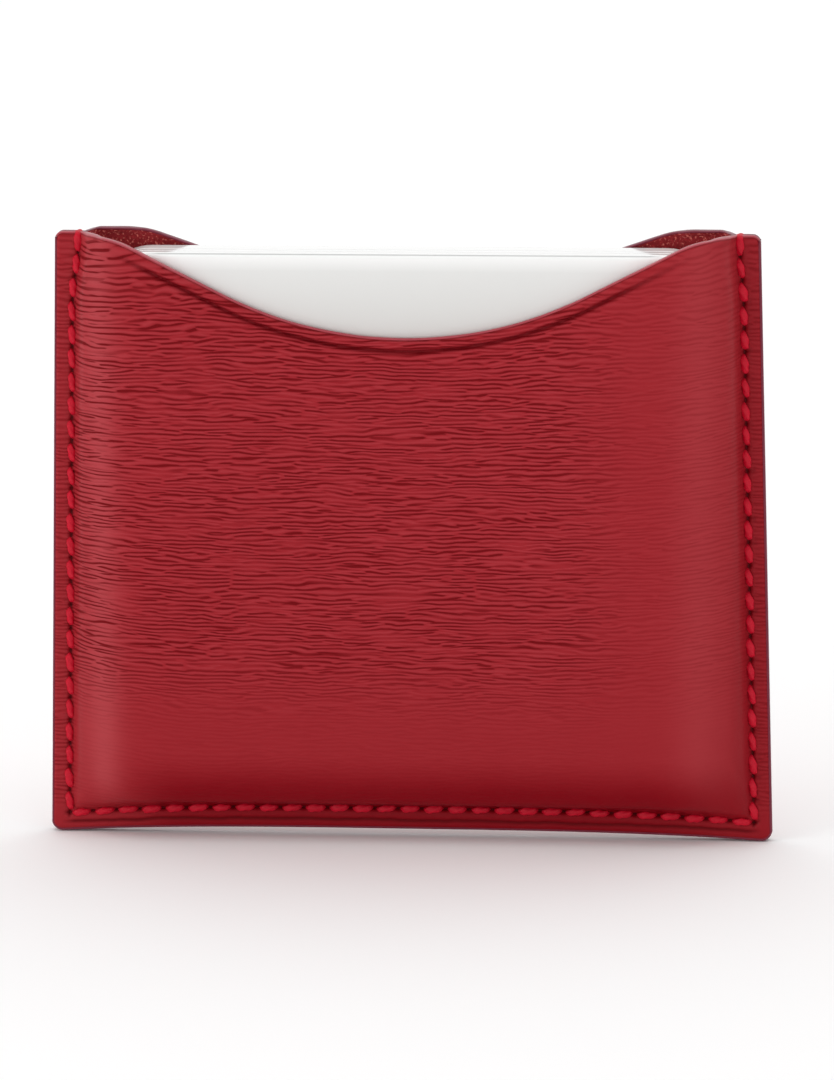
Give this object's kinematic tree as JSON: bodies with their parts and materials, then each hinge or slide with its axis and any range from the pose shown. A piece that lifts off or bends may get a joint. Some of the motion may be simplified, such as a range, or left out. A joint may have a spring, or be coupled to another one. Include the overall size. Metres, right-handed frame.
{
  "type": "card holder",
  "caption": "Stitched leather slip sleeve with a scooped thumb mouth, holding a rigid rounded card case that slides out upwards.",
  "frame": {"origin": "middle of the bottom edge, halfway through the thickness", "axes": "+Z from the bottom seam to the mouth, +X to the right seen from the front panel, the front panel faces -Y"},
  "size_m": [0.1036, 0.0116, 0.0874],
  "materials": {
    "leather": "pressed grain, semi-gloss",
    "edge_paint": "burnished satin edge paint",
    "thread": "waxed linen thread",
    "case_plastic": "high gloss"
  },
  "bodies": {
    "sleeve": {"front_panel": "leather", "back_panel": "leather", "side_edge_coat": "edge_paint", "front_mouth_edge_coat": "edge_paint", "back_mouth_edge_coat": "edge_paint", "left_seam_thread": "thread", "bottom_seam_thread": "thread", "right_seam_thread": "thread"},
    "case": {"case_back_shell": "case_plastic", "case_middle_frame": "case_plastic", "case_front_shell": "case_plastic"}
  },
  "joints": [
    {"name": "case_slide", "type": "slide", "parent": "sleeve", "child": "case", "axis": [0, 0, 1], "range_m": [0, 0.085]}
  ]
}
